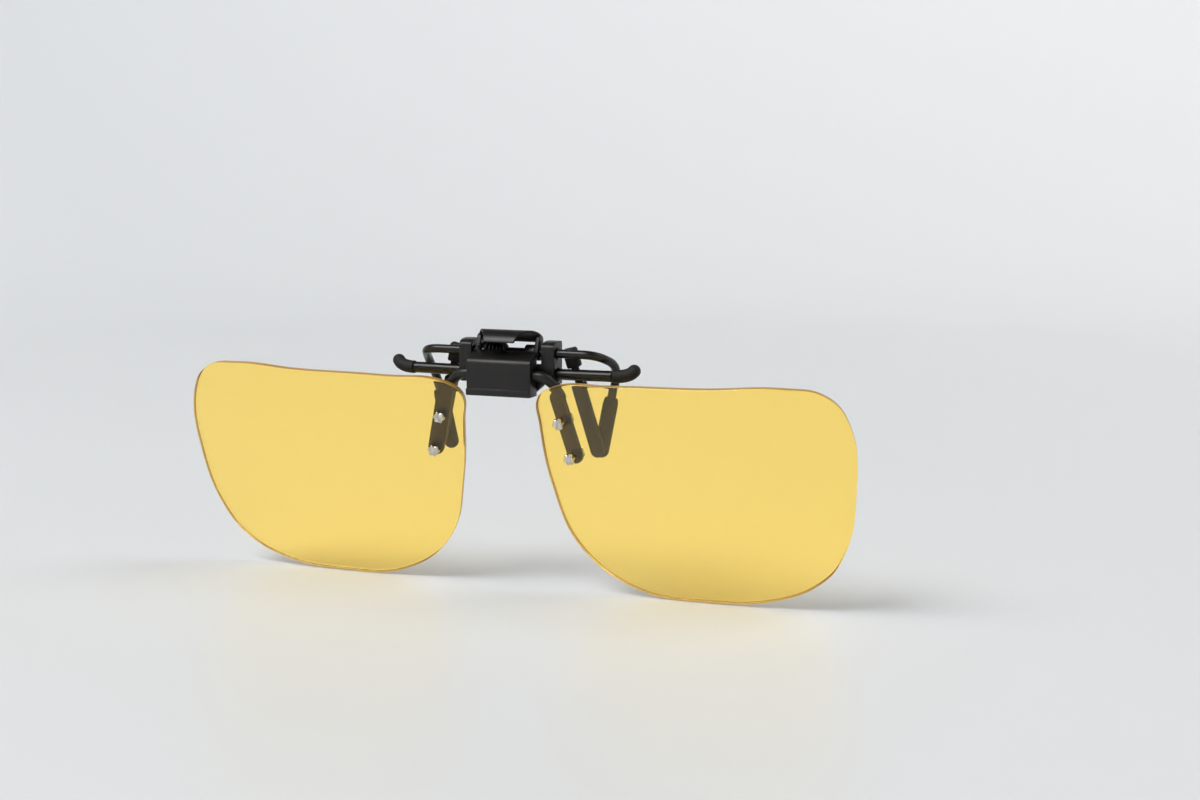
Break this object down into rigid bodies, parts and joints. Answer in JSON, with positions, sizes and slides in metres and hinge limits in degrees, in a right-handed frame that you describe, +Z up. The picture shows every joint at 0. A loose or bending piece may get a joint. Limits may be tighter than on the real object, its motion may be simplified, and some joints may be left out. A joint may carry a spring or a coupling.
{
  "type": "flip-up clip-on sunglasses",
  "caption": "Yellow tinted lenses screwed to a hinged bar that flips up on a small sprung clip with rubber-covered prongs and rest arms.",
  "frame": {"origin": "middle of the grip, halfway between the front and rear pads, on the plane that mirrors left to right", "axes": "+X along the hinge bar towards the wearer's left, +Z up, and the lenses' outer faces look towards -Y"},
  "size_m": [0.1262, 0.0174, 0.0472],
  "materials": {
    "yellow_lens": "polished clear yellow tint",
    "black_paint": "satin black baked enamel",
    "black_wire": "gloss black enamel on drawn wire",
    "black_rubber": "matt black silicone sleeve",
    "nickel": "bright nickel plate",
    "spring_steel": "dark oiled spring steel"
  },
  "bodies": {
    "clip_base": {"housing": "black_paint", "bracket": "black_paint", "leaf_spring": "spring_steel", "torsion_spring": "spring_steel", "rivet_left": "black_paint", "rivet_right": "black_paint", "rest_arm_left": "black_wire", "rest_arm_right": "black_wire", "rest_tip_left": "black_rubber", "rest_tip_right": "black_rubber", "front_leg_left": "black_paint", "front_leg_right": "black_paint", "front_pad_left": "black_rubber", "front_pad_right": "black_rubber", "leg_cap_left": "black_rubber", "leg_cap_right": "black_rubber"},
    "lens_unit": {"lens_left": "yellow_lens", "lens_right": "yellow_lens", "lens_bar": "black_paint", "screw_left_upper": "nickel", "screw_left_lower": "nickel", "screw_right_upper": "nickel", "screw_right_lower": "nickel", "nut_left_upper": "nickel", "nut_left_lower": "nickel", "nut_right_upper": "nickel", "nut_right_lower": "nickel"},
    "rear_jaw": {"jaw_wire": "black_wire", "rear_pad_left": "black_rubber", "rear_pad_right": "black_rubber", "press_tab": "black_paint"}
  },
  "joints": [
    {"name": "flip", "type": "hinge", "parent": "clip_base", "child": "lens_unit", "pos_m": [0, -0.009, 0.0124], "axis": [-1, 0, 0], "range_deg": [0, 105], "deforming": ["leaf_spring"]},
    {"name": "jaw_pivot", "type": "hinge", "parent": "clip_base", "child": "rear_jaw", "pos_m": [0, -0.00558, 0.0161], "axis": [1, 0, 0], "range_deg": [0, 25], "stiffness_Nm_per_rad": 0.1, "deforming": ["torsion_spring"]}
  ]
}
